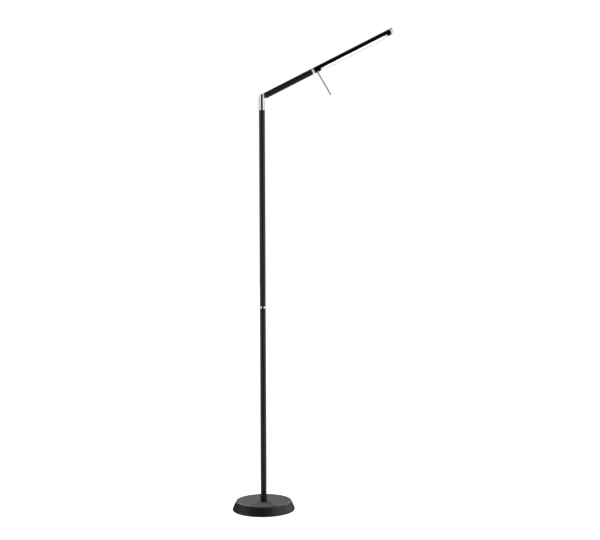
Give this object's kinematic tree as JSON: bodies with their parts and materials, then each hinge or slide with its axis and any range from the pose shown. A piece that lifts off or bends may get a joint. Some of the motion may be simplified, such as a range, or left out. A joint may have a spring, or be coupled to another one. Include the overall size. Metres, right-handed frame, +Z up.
{
  "type": "pharmacy floor lamp",
  "caption": "Slim LED floor lamp: weighted round base, jointed pole, and a raised arm with a strip-light head that swivels, tilts and rolls by a thin steering rod.",
  "frame": {"origin": "middle of the base pad's underside, on the floor and on the pole's axis", "axes": "+Z up along the pole, +X the way the arm points at rest, -Y the side that the head's light and the steering rod lean to"},
  "size_m": [0.5258, 0.2012, 1.5452],
  "materials": {
    "black_paint": "satin black powder coat with a very fine grain",
    "gloss_black": "smooth black lacquer over aluminium extrusion",
    "chrome": "bright chrome plating",
    "steel": "zinc-plated steel",
    "black_steel": "black oxide steel",
    "cast_iron": "sand-cast grey iron, unpainted",
    "aluminium": "satin aluminium",
    "black_plastic": "moulded black nylon",
    "circuit_board": "white solder mask with yellow phosphor chips",
    "frosted_lens": "frosted white acrylic",
    "rubber": "black rubber foam and moulded rubber",
    "wire_jacket": "black PVC jacket"
  },
  "bodies": {
    "stand": {"base_cover": "black_paint", "base_weight": "cast_iron", "base_pad": "rubber", "base_washer": "steel", "base_nut": "steel", "cord_inlet_bush": "rubber", "foot_stud": "steel", "foot_plug": "steel", "foot_collar": "black_paint", "lower_pole": "black_paint", "lower_pole_plug": "steel", "coupling_stud": "steel", "pole_ring": "chrome", "upper_pole_plug": "steel", "upper_pole": "black_paint", "swivel_bush": "black_plastic", "pole_wire": "wire_jacket"},
    "post": {"hinge_post": "chrome", "swivel_washer": "steel", "swivel_clip": "steel", "swivel_stop_pin": "steel", "hinge_screw": "black_steel", "hinge_nut": "steel"},
    "arm": {"hinge_tongue": "chrome", "friction_washer_front": "black_plastic", "friction_washer_back": "black_plastic", "arm_tube": "black_paint", "arm_set_screw": "black_steel", "roll_bush": "black_plastic", "arm_wire": "wire_jacket"},
    "head": {"roll_spigot": "steel", "roll_washer": "steel", "roll_clip": "steel", "roll_stop_pin": "steel", "head_ring": "chrome", "head_housing": "gloss_black", "head_plug": "aluminium", "handle_rod": "steel", "handle_sleeve": "chrome", "led_carrier": "aluminium", "led_board": "circuit_board", "led_lens": "frosted_lens", "lens_clip_near": "aluminium", "lens_clip_far": "aluminium", "head_end_cap": "black_plastic", "dimmer_body": "black_plastic", "head_screw_near": "black_steel", "head_screw_far": "black_steel", "head_wire": "wire_jacket"},
    "knob": {"dimmer_knob": "aluminium", "dimmer_shaft": "aluminium", "knob_set_screw": "black_steel"}
  },
  "joints": [
    {"name": "arm_swivel", "type": "hinge", "parent": "stand", "child": "post", "pos_m": [0, 0, 1.28], "axis": [0, 0, 1], "range_deg": [-158, 158]},
    {"name": "arm_tilt", "type": "hinge", "parent": "post", "child": "arm", "pos_m": [0, 0, 1.3235], "axis": [0, -1, 0], "range_deg": [-31.5, 60]},
    {"name": "head_roll", "type": "hinge", "parent": "arm", "child": "head", "pos_m": [0.16111, 0, 1.40488], "axis": [0.8926, 0, 0.4509], "range_deg": [-134, 182]},
    {"name": "dimmer_turn", "type": "hinge", "parent": "head", "child": "knob", "pos_m": [0.41327, 0, 1.53226], "axis": [0.8926, 0, 0.4509], "range_deg": [0, 300]}
  ]
}
